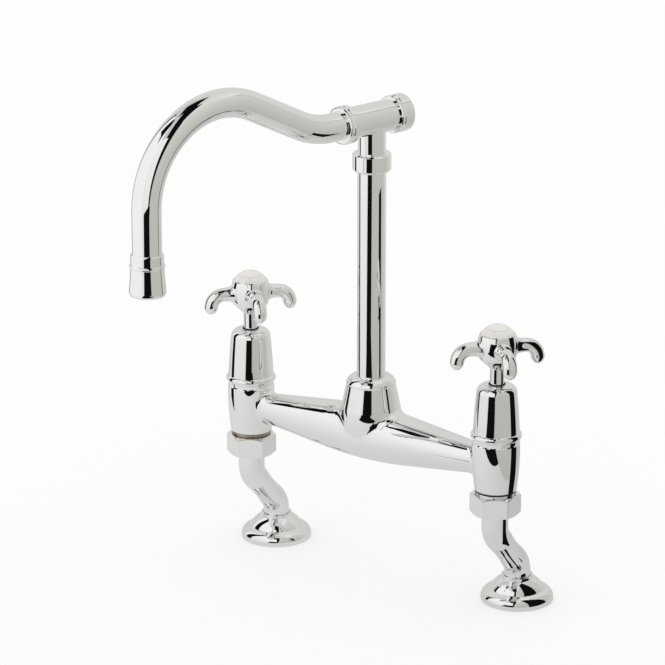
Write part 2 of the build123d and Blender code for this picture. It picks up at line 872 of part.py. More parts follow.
def aerator_insert():
    """The round cage that screws into the nozzle's mouth."""
    low = nozzle_overlap - nozzle_length + aerator_recess
    inner = aerator_radius - aerator_wall
    outline = Polyline(
        (inner, low),
        (aerator_radius, low),
        (aerator_radius, low + aerator_height),
        (inner - aerator_ledge, low + aerator_height),
        (inner - aerator_ledge, low + mesh_height),
        (inner, low + mesh_height),
        close=True,
    )
    return at_nozzle(turned(outline))


def aerator_mesh():
    """The crossed bars in the aerator that straighten the stream."""
    low = nozzle_overlap - nozzle_length + aerator_recess
    radius = aerator_radius - aerator_wall
    count = int(radius // mesh_pitch)
    face = Circle(radius) - Circle(radius - mesh_bar)
    for index in range(-count, count + 1):
        bar = Pos(0, index * mesh_pitch) * Rectangle(2 * radius, mesh_bar) & Circle(radius)
        face += bar + Rot(0, 0, 90) * bar
    return at_nozzle(Pos(0, 0, low) * extrude(face, mesh_height))


def spindle_rings():
    """Both rubber rings of a spindle, as a group of separate solids."""
    lower, upper = spindle_ring_heights()
    return seal_ring(spindle_radius, lower) + seal_ring(spindle_radius, upper)


bridge_parts = {
    "bridge_body": bridge_body(),
    "hub_collar": bridge_axis * hub_collar(),
}
spout_parts = {
    "swivel_spigot": swivel_spigot(),
    "swivel_rings": swivel_rings(),
    "glide_washer": glide_washer(),
    "riser_tube": riser_tube(),
    "riser_collar": riser_collar(),
    "tee_body": tee_body(),
    "tee_end_cap": tee_end_cap(),
    "spout_collar": spout_collar(),
    "spout_tube": spout_tube(),
    "nozzle_shell": nozzle_shell(),
    "aerator_insert": aerator_insert(),
    "aerator_mesh": aerator_mesh(),
}
valve_parts = {
    "valve_cover": valve_cover(),
    "cartridge": cartridge(),
    "fixed_disc": ceramic_disc(disc_bottom, fixed_disc_height, 90),
    "moving_disc": ceramic_disc(moving_disc_bottom, moving_disc_height, 0),
    "seat_seal": seat_seal(),
    "spindle": spindle(),
    "spindle_rings": spindle_rings(),
    "handle": Rot(0, 0, handle_turn - 90) * handle(),
    "handle_screw": handle_screw(),
    "index_button": index_button(),
    "union_nut": union_nut(),
    "union_washer": union_washer(),
}
foot_parts = {
    "leg": leg(),
    "foot_flange": foot_flange(),
}

os.makedirs("parts", exist_ok=True)
for name, shape in bridge_parts.items():
    export_step(shape, f"parts/{name}.step")
for name, shape in spout_parts.items():
    export_step(spout_frame * shape, f"parts/{name}.step")
for side, x in (("left", -valve_x), ("right", valve_x)):
    for name, shape in valve_parts.items():
        export_step(Pos(x, valve_y, 0) * shape, f"parts/{side}_{name}.step")
    for name, shape in foot_parts.items():
        export_step(Pos(x, 0, 0) * shape, f"parts/{side}_{name}.step")
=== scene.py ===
import math

import bpy
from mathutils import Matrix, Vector


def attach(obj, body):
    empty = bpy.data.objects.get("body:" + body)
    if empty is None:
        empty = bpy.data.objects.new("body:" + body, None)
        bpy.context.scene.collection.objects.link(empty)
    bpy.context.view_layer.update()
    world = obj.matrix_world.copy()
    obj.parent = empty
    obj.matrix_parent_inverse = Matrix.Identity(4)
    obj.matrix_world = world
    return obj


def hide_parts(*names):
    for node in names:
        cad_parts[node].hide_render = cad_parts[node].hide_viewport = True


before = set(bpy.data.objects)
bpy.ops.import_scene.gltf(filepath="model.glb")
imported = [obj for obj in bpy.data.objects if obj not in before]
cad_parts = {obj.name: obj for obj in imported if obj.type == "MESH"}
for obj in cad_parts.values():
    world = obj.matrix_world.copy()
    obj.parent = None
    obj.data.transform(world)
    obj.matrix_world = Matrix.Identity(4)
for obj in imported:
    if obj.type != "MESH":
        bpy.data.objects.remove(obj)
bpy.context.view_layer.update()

bpy.context.scene.view_settings.view_transform = "Standard"
print("mixer tap: solids loaded")

valveAxes = {"left": (-0.1, -0.0285), "right": (0.1, -0.0285)}


# The camera stands where the photograph was taken from, and the light tent is laid out round its axis.
camera = {
    "azimuth": math.radians(35.332),
    "elevation": math.radians(18.499),
    "target": Vector((-0.03163, -0.0285, 0.17048)),
    "distance": 2.5,
    "focalPixels": 3724.4,
    "imagePixels": 665,
    "sensor": 36.0,
}

toRight = Vector((math.cos(camera["azimuth"]), math.sin(camera["azimuth"]), 0))
toFront = Vector((math.sin(camera["azimuth"]), -math.cos(camera["azimuth"]), 0))


def addCamera():
    back = toFront * math.cos(camera["elevation"]) + Vector((0, 0, math.sin(camera["elevation"])))
    data = bpy.data.cameras.new("camera")
    data.sensor_width = camera["sensor"]
    data.lens = camera["focalPixels"] / camera["imagePixels"] * camera["sensor"]
    data.clip_start, data.clip_end = 0.1, 20
    eye = bpy.data.objects.new("camera", data)
    bpy.context.collection.objects.link(eye)
    eye.rotation_mode = "QUATERNION"
    eye.location = camera["target"] + back * camera["distance"]
    eye.rotation_quaternion = (-back).to_track_quat("-Z", "Y")
    bpy.context.scene.camera = eye


addCamera()
print("mixer tap: camera in place")


class Signal:
    # a socket that can be added to, taken from, multiplied and compared with numbers and other sockets
    def __init__(self, finish, socket):
        self.finish, self.socket = finish, socket

    def sum(self, operation, *terms):
        return self.finish.node("ShaderNodeMath", {"operation": operation}, dict(enumerate(terms)))

    def __add__(self, other):
        return self.sum("ADD", self, other)

    def __radd__(self, other):
        return self.sum("ADD", other, self)

    def __sub__(self, other):
        return self.sum("SUBTRACT", self, other)

    def __rsub__(self, other):
        return self.sum("SUBTRACT", other, self)

    def __mul__(self, other):
        return self.sum("MULTIPLY", self, other)

    def __rmul__(self, other):
        return self.sum("MULTIPLY", other, self)

    def __truediv__(self, other):
        return self.sum("DIVIDE", self, other)

    def __pow__(self, other):
        return self.sum("POWER", self, other)

    def __lt__(self, other):
        return self.sum("LESS_THAN", self, other)

    def __gt__(self, other):
        return self.sum("GREATER_THAN", self, other)

    def size(self):
        return self.sum("ABSOLUTE", self)

    def root(self):
        return self.sum("SQRT", self)

    def wave(self):
        return self.sum("SINE", self)


class Finish:
    # one material, with every node made by the same method
    def __init__(self, name):
        self.material = bpy.data.materials.new(name)
        self.material.use_nodes = True
        self.tree = self.material.node_tree
        self.surface = self.tree.nodes["Principled BSDF"]
        self.place = self.node("ShaderNodeTexCoord", output="Object")

    def node(self, kind, settings=None, sockets=None, output=0):
        made = self.tree.nodes.new(kind)
        for key, value in (settings or {}).items():
            if key == "stops":
                self.fillRamp(made.color_ramp, value)
            else:
                setattr(made, key, value)
        for key, value in (sockets or {}).items():
            self.plug(made.inputs[key], value)
        return Signal(self, made.outputs[output])

    def plug(self, entry, value):
        if isinstance(value, Signal):
            self.tree.links.new(value.socket, entry)
        else:
            entry.default_value = value

    def fillRamp(self, ramp, stops):
        while len(ramp.elements) < len(stops):
            ramp.elements.new(0.5)
        for element, (position, colour) in zip(ramp.elements, stops):
            element.position, element.color = position, (*colour, 1)

    def set(self, **looks):
        for key, value in looks.items():
            self.plug(self.surface.inputs[key.replace("_", " ")], value)
        return self.material

    def axes(self):
        # the three object coordinates
        split = self.node("ShaderNodeSeparateXYZ", {}, {0: self.place})
        return [Signal(self, socket) for socket in split.socket.node.outputs]

    def noise(self, scale, detail=2.0, roughness=0.5, where=None):
        sockets = {"Vector": where or self.place, "Scale": scale, "Detail": detail, "Roughness": roughness}
        return self.node("ShaderNodeTexNoise", {}, sockets)

    def ramp(self, amount, stops):
        return self.node("ShaderNodeValToRGB", {"stops": stops}, {0: amount})

    def clamp(self, amount, low, high):
        return self.node("ShaderNodeClamp", {}, {"Value": amount, "Min": low, "Max": high})

    def blend(self, amount, first, second):
        first, second = [value if isinstance(value, Signal) else (*value, 1) for value in (first, second)]
        return self.node("ShaderNodeMix", {"data_type": "RGBA"}, {0: amount, 6: first, 7: second}, output=2)

    def bump(self, height, strength, distance, edge=0.0):
        # with an edge the corners are also shaded as if rounded by that radius
        sockets = {"Height": height, "Strength": strength, "Distance": distance}
        if edge:
            settings = {"samples": chromeLook["edgeSamples"]}
            sockets["Normal"] = self.node("ShaderNodeBevel", settings, {"Radius": edge})
        return self.node("ShaderNodeBump", {}, sockets)

    def fromValveAxis(self):
        # distance from the nearer valve's axis, and height
        x, y, z = self.axes()
        across, along = x.size() - valveAxes["right"][0], y - valveAxes["right"][1]
        return (across * across + along * along).root(), z


# Chrome plating, with the brass that it is plated on where the plating stops

chromeLook = {
    "deep": (0.865, 0.87, 0.855),
    "bright": (0.915, 0.92, 0.915),
    "gloss": 0.018,
    "cloudScale": 28.0,
    "cloudRoughness": 0.022,
    "wipeScale": (900.0, 900.0, 60.0),
    "wipeRoughness": 0.02,
    "rippleScale": 46.0,
    "rippleStrength": 0.035,
    "rippleDepth": 0.0004,
    "ringEdge": 0.0003,
    "nutEdge": 0.0009,
    "edgeSamples": 12,
}

brassLook = {
    "fresh": (0.74, 0.67, 0.54),
    "aged": (0.36, 0.31, 0.23),
    "darkest": (0.10, 0.085, 0.06),
    "patchScale": 160.0,
    "grainScale": 1400.0,
    "gloss": 0.24,
    "patchRoughness": 0.2,
    "grainStrength": 0.3,
    "grainDepth": 0.00006,
}


def brassParts(finish, fresh, aged):
    patches = finish.noise(brassLook["patchScale"], 4, 0.6)
    grain = finish.noise(brassLook["grainScale"], 2)
    colour = finish.blend(patches ** 1.5, brassLook[fresh], brassLook[aged])
    return colour, brassLook["gloss"] + brassLook["patchRoughness"] * patches, grain


def chrome(name, bareWhere=None, edge=0.0):
    finish = Finish(name)
    cloud = finish.noise(chromeLook["cloudScale"], 3)
    stretched = finish.node("ShaderNodeMapping", {}, {"Vector": finish.place, "Scale": chromeLook["wipeScale"]})
    wipe = finish.noise(1.0, 3, 0.6, stretched)
    ripple = finish.noise(chromeLook["rippleScale"], 1)
    colour = finish.blend(cloud, chromeLook["deep"], chromeLook["bright"])
    clouded, wiped = chromeLook["cloudRoughness"] * cloud ** 2.0, chromeLook["wipeRoughness"] * wipe ** 3.0
    rough = chromeLook["gloss"] + clouded + wiped
    if bareWhere:
        bare = bareWhere(finish)
        # the bare tail takes the two darker brass colours, so the gaps between the thread's ridges come out
        # dark
        brassColour, brassRough, brassGrain = brassParts(finish, "aged", "darkest")
        colour = finish.blend(bare, colour, brassColour)
        rough = rough * (1 - bare) + brassRough * bare
    normal = finish.bump(ripple, chromeLook["rippleStrength"], chromeLook["rippleDepth"], edge)
    return finish.set(Base_Color=colour, Metallic=1.0, Roughness=rough, Normal=normal)


def brass(name):
    finish = Finish(name)
    colour, rough, grain = brassParts(finish, "fresh", "aged")
    normal = finish.bump(grain, brassLook["grainStrength"], brassLook["grainDepth"])
    return finish.set(Base_Color=colour, Metallic=1.0, Roughness=rough, Normal=normal)


# Where the plating stops: the threaded tails under the valve bodies and the inside of the union nuts

platingEdge = {"tailRadius": 0.01304, "nutRadius": 0.01322, "bodyFoot": 0.0874}


def tailBrass(finish):
    # only the hot side, on the left, shows bare thread above its nut
    radius, height = finish.fromValveAxis()
    x, y, z = finish.axes()
    return (radius < platingEdge["tailRadius"]) * (height < platingEdge["bodyFoot"]) * (x < 0.0)


def nutBrass(finish):
    radius, height = finish.fromValveAxis()
    return radius < platingEdge["nutRadius"]


porcelainLook = {
    "glaze": (0.86, 0.85, 0.81),
    "warm": (0.84, 0.81, 0.76),
    "mottleScale": 130.0,
    "speckScale": 900.0,
    "gloss": 0.12,
    "mottleRoughness": 0.1,
    "mottleStrength": 0.08,
    "mottleDepth": 0.0003,
    "coat": 0.6,
    "coatGloss": 0.04,
    "depth": 0.12,              # how much light goes into the body, and how far
    "depthReach": 0.002,
    "line": (0.55, 0.55, 0.54),
    "lineRadius": 0.0078,
    "lineWidth": 0.00022,
    "lineCover": 0.35,
    "dotRadius": 0.0011,
    "dotCover": 0.3,
    "speckCover": 0.5,
}


def porcelain(name):
    # white glaze with one grey line round the crown and a dot in the middle
    finish = Finish(name)
    radius, height = finish.fromValveAxis()
    mottle = finish.noise(porcelainLook["mottleScale"], 3)
    speck = finish.noise(porcelainLook["speckScale"], 2)
    colour = finish.blend(mottle, porcelainLook["glaze"], porcelainLook["warm"])
    onLine = (radius - porcelainLook["lineRadius"]).size() < porcelainLook["lineWidth"]
    line = onLine * (porcelainLook["lineCover"] + porcelainLook["speckCover"] * speck)
    inDot = radius < porcelainLook["dotRadius"]
    dot = inDot * (porcelainLook["dotCover"] + porcelainLook["speckCover"] * speck)
    return finish.set(
        Base_Color=finish.blend(line + dot, colour, porcelainLook["line"]),
        Roughness=porcelainLook["gloss"] + porcelainLook["mottleRoughness"] * mottle ** 2.0,
        Normal=finish.bump(mottle, porcelainLook["mottleStrength"], porcelainLook["mottleDepth"]),
        Coat_Weight=porcelainLook["coat"],
        Coat_Roughness=porcelainLook["coatGloss"],
        Subsurface_Weight=porcelainLook["depth"],
        Subsurface_Scale=porcelainLook["depthReach"],
    )


softLooks = {
    "ceramic": {
        "light": (0.78, 0.76, 0.70), "dark": (0.66, 0.63, 0.57),
        "scale": 420.0, "rough": 0.22, "spread": 0.2, "depth": 0.00003,
    },
    "rubber": {
        "light": (0.030, 0.030, 0.031), "dark": (0.012, 0.012, 0.013),
        "scale": 700.0, "rough": 0.5, "spread": 0.25, "depth": 0.00008,
    },
    "fibre": {
        "light": (0.36, 0.12, 0.07), "dark": (0.17, 0.05, 0.035),
        "scale": 900.0, "rough": 0.72, "spread": 0.2, "depth": 0.00018,
    },
    "plastic": {
        "light": (0.76, 0.76, 0.73), "dark": (0.68, 0.68, 0.65),
        "scale": 260.0, "rough": 0.36, "spread": 0.14, "depth": 0.00003,
    },
}
softGrain = {"finer": 4, "strength": 0.5}       # the grain against the patches


def softFinish(name, kind):
    look = softLooks[kind]
    finish = Finish(name)
    patches = finish.noise(look["scale"], 4, 0.65)
    grain = finish.noise(look["scale"] * softGrain["finer"], 2)
    return finish.set(
        Base_Color=finish.blend(patches, look["light"], look["dark"]),
        Roughness=look["rough"] + look["spread"] * patches,
        Normal=finish.bump(grain, softGrain["strength"], look["depth"]),
    )


steelLook = {
    "light": (0.62, 0.62, 0.63),
    "dark": (0.47, 0.47, 0.48),
    "ringPitch": 0.00035,
    "ringStrength": 0.2,
    "ringDepth": 0.00004,
    "patchScale": 300.0,
    "gloss": 0.22,
    "patchRoughness": 0.15,
}


def turnedSteel(name):
    # fine rings left by the lathe on the screw's face
    finish = Finish(name)
    radius, height = finish.fromValveAxis()
    rings = (radius * (2 * math.pi / steelLook["ringPitch"])).wave() * 0.5 + 0.5
    patches = finish.noise(steelLook["patchScale"], 3)
    return finish.set(
        Base_Color=finish.blend(rings * 0.5 + patches * 0.5, steelLook["light"], steelLook["dark"]),
        Metallic=1.0,
        Roughness=steelLook["gloss"] + steelLook["patchRoughness"] * patches,
        Normal=finish.bump(rings, steelLook["ringStrength"], steelLook["ringDepth"]),
    )


finishes = {
    "chrome": chrome("polishedChrome"),
    "casting": chrome("platedCasting", tailBrass),
    "nut": chrome("platedNut", nutBrass, chromeLook["nutEdge"]),
    "ring": chrome("platedRing", None, chromeLook["ringEdge"]),
    "brass": brass("turnedBrass"),
    "porcelain": porcelain("glazedPorcelain"),
    "steel": turnedSteel("turnedSteel"),
    "ceramic": softFinish("lappedCeramic", "ceramic"),
    "rubber": softFinish("blackRubber", "rubber"),
    "fibre": softFinish("redFibre", "fibre"),
    "plastic": softFinish("mouldedPlastic", "plastic"),
}

nodeFinishes = {
    "bridge_body": "casting",
    "hub_collar": "ring",
    "riser_collar": "ring",
    "spout_collar": "ring",
    "tee_end_cap": "ring",
    "swivel_spigot": "brass",
    "swivel_rings": "rubber",
    "glide_washer": "plastic",
    "aerator_insert": "plastic",
    "aerator_mesh": "plastic",
}
sideFinishes = {
    "cartridge": "brass",
    "fixed_disc": "ceramic",
    "moving_disc": "ceramic",
    "seat_seal": "rubber",
    "spindle_rings": "rubber",
    "union_washer": "fibre",
    "union_nut": "nut",
    "index_button": "porcelain",
    "handle_screw": "steel",
}
for side in valveAxes:
    nodeFinishes.update({side + "_" + name: kind for name, kind in sideFinishes.items()})

for name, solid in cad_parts.items():
    for slot in solid.material_slots:
        slot.material = finishes[nodeFinishes.get(name, "chrome")]
print("mixer tap: finishes on the solids")


# Helpers for the pieces that are modelled here.
# An operator acts on all that is selected, so each starts from none.

mergeGap = 0.000005


def deselectAll():
    bpy.ops.object.select_all(action="DESELECT")


def pick(piece):
    deselectAll()
    piece.select_set(True)
    bpy.context.view_layer.objects.active = piece


def settle(piece, place=(0, 0, 0), turn=0.0):
    # the mesh goes to its place and the object stays at the origin
    piece.location, piece.rotation_euler = place, (0, 0, turn)
    pick(piece)
    bpy.ops.object.transform_apply(location=True, rotation=True, scale=True)


def copyOf(piece, name):
    twin = piece.copy()
    twin.data = piece.data.copy()
    twin.name = twin.data.name = name
    bpy.context.collection.objects.link(twin)
    return twin


def apply(piece, kind, **settings):
    pick(piece)
    modifier = piece.modifiers.new(kind.title(), kind)
    for key, value in settings.items():
        setattr(modifier, key, value)
    bpy.ops.object.modifier_apply(modifier=modifier.name)


def finishPiece(piece, name, body, node, material):
    pick(piece)
    bpy.ops.object.shade_smooth()
    piece.name = piece.data.name = name
    piece.data.materials.clear()
    piece.data.materials.append(material)
    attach(piece, body)


# Handle arms: each is drawn out of the bulb with a soft root, as the casting is, over the solid's plain arm

grip = {
    "foot": 0.1718,
    "height": 0.0142,           # arm above the handle's foot
    "firstTurn": -40.0,
    "arms": 4,
    "sides": 12,
    "roots": [                  # distance out, radius and lift off the bulb
        (0.0118, 0.0067, -0.0001),
        (0.0124, 0.0061, 0.00022),
    ],
    "neck": [(0.0141, 0.00535), (0.0160, 0.00500), (0.0195, 0.00485)],      # distance out and radius
    "bend": 0.008,
    "bendRadii": [0.00495, 0.00505, 0.00505, 0.00495],
    "tip": [(0.0010, 0.00485), (0.0034, 0.0039), (0.0051, 0.0021)],     # distance down and radius
    "point": 0.0003,
    "smoothing": 3,
}


def stretchRing(shift, share, centre, sideways=False):
    # the next ring, made wider or narrower by the share
    bpy.ops.mesh.extrude_region_move(TRANSFORM_OT_translate={"value": shift})
    value = (1, share, share) if sideways else (share, share, 1)
    bpy.ops.transform.resize(value=value, center_override=centre)


def drawGrip():
    # one arm along +X, with the handle's foot at the origin
    deselectAll()
    height, bend = grip["height"], grip["bend"]
    distance, radius = grip["roots"][0][:2]
    place, turn = (distance, 0, height), (0, math.pi / 2, 0)
    bpy.ops.mesh.primitive_circle_add(vertices=grip["sides"], radius=radius, location=place, rotation=turn)
    arm = bpy.context.object
    bpy.ops.object.transform_apply(location=True, rotation=True, scale=True)
    bpy.ops.object.mode_set(mode="EDIT")
    bpy.ops.mesh.select_all(action="SELECT")
    for nextDistance, nextRadius in [root[:2] for root in grip["roots"][1:]] + grip["neck"]:
        shift, here = (nextDistance - distance, 0, 0), (nextDistance, 0, height)
        stretchRing(shift, nextRadius / radius, here, sideways=True)
        distance, radius = nextDistance, nextRadius
    step = math.pi / 2 / len(grip["bendRadii"])
    for index, nextRadius in enumerate(grip["bendRadii"]):
        bpy.ops.mesh.extrude_region_move()
        bpy.ops.transform.rotate(value=-step, orient_axis="Y", center_override=(distance, 0, height - bend))
        angle = step * (index + 1)
        here = (distance + bend * math.sin(angle), 0, height - bend + bend * math.cos(angle))
        bpy.ops.transform.resize(value=(nextRadius / radius,) * 3, center_override=here)
        radius = nextRadius
    out, down, level = distance + bend, height - bend, 0.0
    for drop, nextRadius in grip["tip"]:
        stretchRing((0, 0, level - drop), nextRadius / radius, (out, 0, down - drop))
        level, radius = drop, nextRadius
    bpy.ops.mesh.extrude_region_move(TRANSFORM_OT_translate={"value": (0, 0, -grip["point"])})
    bpy.ops.mesh.merge(type="CENTER")
    bpy.ops.mesh.select_all(action="SELECT")
    bpy.ops.mesh.normals_make_consistent(inside=False)
    bpy.ops.object.mode_set(mode="OBJECT")
    return arm


def seatRoots(arm):
    # the first two rings lie on the bulb, so the root flows into it
    for index, (distance, radius, lift) in enumerate(grip["roots"]):
        ring = arm.vertex_groups.new(name="root" + str(index))
        ring.add(range(index * grip["sides"], (index + 1) * grip["sides"]), 1.0, "REPLACE")
        settings = {"vertex_group": ring.name, "wrap_mode": "OUTSIDE_SURFACE", "offset": lift}
        apply(arm, "SHRINKWRAP", target=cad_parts["right_handle"], **settings)
    apply(arm, "SUBSURF", levels=grip["smoothing"], render_levels=grip["smoothing"])
    arm.vertex_groups.clear()


def closeRoot(arm):
    pick(arm)
    bpy.ops.object.mode_set(mode="EDIT")
    bpy.ops.mesh.select_all(action="DESELECT")
    bpy.ops.mesh.select_non_manifold()
    bpy.ops.mesh.edge_face_add()
    bpy.ops.mesh.select_all(action="SELECT")
    bpy.ops.mesh.normals_make_consistent(inside=False)
    bpy.ops.object.mode_set(mode="OBJECT")


def addGrips():
    arm = drawGrip()
    settle(arm, (*valveAxes["right"], grip["foot"]), math.radians(grip["firstTurn"]))
    seatRoots(arm)
    closeRoot(arm)
    arms = [arm]
    centre = Vector((*valveAxes["right"], 0))
    for index in range(1, grip["arms"]):
        twin = copyOf(arm, "grip" + str(index))
        settle(twin, -centre)
        settle(twin, centre, 2 * math.pi * index / grip["arms"])
        arms.append(twin)
    deselectAll()
    for one in arms:
        one.select_set(True)
    bpy.context.view_layer.objects.active = arm
    bpy.ops.object.join()
    left = copyOf(arm, "leftGrips")
    settle(left, Vector((*valveAxes["left"], 0)) - centre)
    for side, piece in (("left", left), ("right", arm)):
        finishPiece(piece, side + "Grips", side + "_handle_group", side + "_handle", finishes["chrome"])


addGrips()
print("mixer tap: handle arms")


# Foot flanges: a turned bell with two swells, thin enough inside to slip over the leg's socket

flange = {
    "feet": {"left": (-0.1, 0.0), "right": (0.1, 0.0)},
    "sides": 32,
    "smoothing": 2,
    # millimetres from the axis and above the deck, down the outside and back up the inside
    "profile": [
        (9.35, 17.88), (10.45, 17.9), (10.75, 17.75), (10.9, 17.4), (10.9, 16.4), (11.0, 16.0), (11.6, 15.6),
        (13.4, 14.35), (15.5, 12.5), (17.2, 10.5), (18.3, 9.0), (18.7, 8.45), (19.3, 8.2),
        (21.3, 7.4), (23.4, 5.7), (24.5, 3.6), (24.62, 2.2), (24.62, 0.35), (24.5, 0.05), (24.2, 0.0),
        (22.9, 0.0), (22.8, 0.1), (22.7, 2.0), (20.5, 5.2), (16.8, 6.5), (15.2, 9.2), (11.3, 15.9), (9.5, 16.1),
        (9.35, 16.3),
    ],
}


def turnRings(profile, sides):
    # a closed ring round the Z axis, drawn from one point of the profile to the next
    deselectAll()
    radius, height = profile[0]
    bpy.ops.mesh.primitive_circle_add(vertices=sides, radius=radius, location=(0, 0, height))
    piece = bpy.context.object
    bpy.ops.object.transform_apply(location=True, rotation=True, scale=True)
    bpy.ops.object.mode_set(mode="EDIT")
    bpy.ops.mesh.select_all(action="SELECT")
    for nextRadius, nextHeight in profile[1:] + profile[:1]:
        stretchRing((0, 0, nextHeight - height), nextRadius / radius, (0, 0, nextHeight))
        radius, height = nextRadius, nextHeight
    bpy.ops.mesh.select_all(action="SELECT")
    bpy.ops.mesh.remove_doubles(threshold=mergeGap)
    bpy.ops.mesh.normals_make_consistent(inside=False)
    bpy.ops.object.mode_set(mode="OBJECT")
    return piece


def addFlanges():
    profile = [(radius / 1000, height / 1000) for radius, height in flange["profile"]]
    bell = turnRings(profile, flange["sides"])
    apply(bell, "SUBSURF", levels=flange["smoothing"], render_levels=flange["smoothing"])
    for side, place in flange["feet"].items():
        piece = copyOf(bell, side + "Bell")
        settle(piece, (*place, 0))
        finishPiece(piece, side + "Bell", side + "_leg_group", side + "_foot_flange", finishes["ring"])
        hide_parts(side + "_foot_flange")
    bpy.data.objects.remove(bell)


addFlanges()
print("mixer tap: foot flanges")


# Painted shade: black rubber rings round the stems on top of the covers, standing in for the shaded gap between
# each stem and the hole in its cover

stemShade = {
    "top": 0.1607,
    "sides": 32,
    "smoothing": 2,
    "profile": [                # distance from the stem's axis and height over the cover
        (0.00484, -0.0003), (0.00484, 0.0004), (0.0051, 0.00062),
        (0.0054, 0.0005), (0.00575, 0.0001), (0.00575, -0.0003),
    ],
}


def addWipers():
    profile = [(radius, stemShade["top"] + height) for radius, height in stemShade["profile"]]
    shadeLip = turnRings(profile, stemShade["sides"])
    apply(shadeLip, "SUBSURF", levels=stemShade["smoothing"], render_levels=stemShade["smoothing"])
    for side, place in valveAxes.items():
        piece = copyOf(shadeLip, side + "Wiper")
        settle(piece, (*place, 0))
        # the black rubber here is painted shade for the gap round the stem
        finishPiece(piece, side + "Wiper", "bridge", side + "_valve_cover", finishes["rubber"])
    bpy.data.objects.remove(shadeLip)


addWipers()
print("mixer tap: wiper rings")


# Thread: the last turns of the hot tail that show between its union nut and the valve body

thread = {
    "radius": 0.01272,          # middle of the ridge
    "ridge": 0.00072,
    "sides": 3,
    "pitch": 0.00118,
    "turns": 2,
    "start": 0.08545,
    "steps": 64,
}


def addThread():
    deselectAll()
    place, turn = (thread["radius"], 0, thread["start"]), (math.pi / 2, math.pi / 2, 0)
    bpy.ops.mesh.primitive_circle_add(
        vertices=thread["sides"], radius=thread["ridge"], fill_type="NGON", location=place, rotation=turn
    )
    ridge = bpy.context.object
    bpy.ops.object.transform_apply(location=True, rotation=True, scale=True)
    turns = {"iterations": thread["turns"], "screw_offset": thread["pitch"], "angle": 2 * math.pi, "axis": "Z"}
    fine = {"steps": thread["steps"], "render_steps": thread["steps"], "use_normal_calculate": True}
    apply(ridge, "SCREW", **turns, **fine)
    pick(ridge)
    bpy.ops.object.mode_set(mode="EDIT")
    bpy.ops.mesh.select_all(action="SELECT")
    bpy.ops.mesh.remove_doubles(threshold=mergeGap)
    bpy.ops.mesh.fill_holes(sides=thread["sides"])
    bpy.ops.mesh.normals_make_consistent(inside=False)
    bpy.ops.object.mode_set(mode="OBJECT")
    settle(ridge, (*valveAxes["left"], 0))
    finishPiece(ridge, "leftThread", "bridge", "bridge_body", finishes["brass"])


addThread()


# Painted shade: the black ring between the cold valve's body and its union nut stands in for the dark gap line
# at the nut's top

nutShade = {
    "sides": 48,
    "smoothing": 1,
    "profile": [                # distance from the valve's axis and height over the deck
        (0.01300, 0.0863), (0.01348, 0.0863), (0.01362, 0.0865),
        (0.01362, 0.0872), (0.01348, 0.08738), (0.01300, 0.08738),
    ],
}


def addSeal():
    ring = turnRings(nutShade["profile"], nutShade["sides"])
    apply(ring, "SUBSURF", levels=nutShade["smoothing"], render_levels=nutShade["smoothing"])
    settle(ring, (*valveAxes["right"], 0))
    # the black rubber here is painted shade for the gap above the nut
    finishPiece(ring, "rightNutShade", "bridge", "bridge_body", finishes["rubber"])


addSeal()
print("mixer tap: thread and tail seal")


# The light tent: soft white walls that the camera looks through, with a dark opening at the front.
# Places are metres to the right of the camera's axis and towards the camera, with the target as origin.

tent = {
    "height": 0.77,
    "corners": {
        "backLeft": (-0.409, -0.317),
        "frontLeft": (-0.225, 0.155),
        "openLeft": (-0.292, 0.405),
        "openRight": (0.0, 0.568),
        "frontRight": (0.416, -0.026),
        "backRight": (0.419, -0.184),
    },
    "walls": {                  # from corner, to corner, and the tone at the floor, part way up and at the roof
        "Left": ("backLeft", "frontLeft", (0.78, 0.97, 0.95)),
        "LeftFlap": ("frontLeft", "openLeft", (0.78, 0.97, 0.97)),
        "Front": ("openLeft", "openRight", (0.70, 0.90, 0.93)),
        "FrontRight": ("openRight", "frontRight", (0.50, 0.56, 0.74)),
        "Right": ("frontRight", "backRight", (0.59, 0.60, 0.66)),
        "Back": ("backRight", "backLeft", (0.64, 0.71, 0.74)),
    },
    "partWayUp": 0.34,          # share of the height
    "warmth": {                 # share of blue
        "Left": 0.995, "LeftFlap": 0.995, "Front": 0.99, "FrontRight": 0.945, "Right": 0.955, "Back": 0.97,
    },
    "roof": 0.70,
    "roofSlope": 0.37,          # the roof is lighter on the right
    "roofReach": 0.4,
    "roofWarmth": 0.98,
    "dark": 0.005,
    "inset": 0.985,             # how far inside the walls and the roof the dark patches hang
    "roofInset": 0.995,
    "patches": [                # wall, its two edges at the foot and at the head, from height, to height
        ("Front", (-0.292, 0.0), (-0.212, 0.0), 0.0, 0.226),
        ("FrontRight", (0.0, 0.001), (0.0, 0.058), 0.0, 0.226),
        ("Front", (-0.018, 0.0), (-0.031, 0.0), 0.226, 0.77),
        ("FrontRight", (0.0, 0.039), (0.0, 0.114), 0.226, 0.77),
        ("Left", (-0.258, -0.225), (-0.258, -0.225), 0.50, 0.75),
        ("LeftFlap", (-0.225, -0.240), (-0.225, -0.240), 0.50, 0.75),
        ("Left", (-0.409, -0.225), (-0.409, -0.225), 0.76, 0.77),
        ("Right", (0.416, 0.419), (0.416, 0.419), 0.758, 0.77),
    ],
    "roofHoles": [              # left, right, back and front
        (-0.127, 0.094, 0.136, 0.568),
        (-0.194, 0.017, -0.060, 0.136),
    ],
    "posts": [                  # two ends and height
        ((-0.350, -0.180), (-0.302, -0.055), 0.77),
        ((0.146, 0.097), (0.182, 0.063), 0.235),
    ],
}


def tentPoint(place, z=0.0):
    return camera["target"] * Vector((1, 1, 0)) + toRight * place[0] + toFront * place[1] + Vector((0, 0, z))


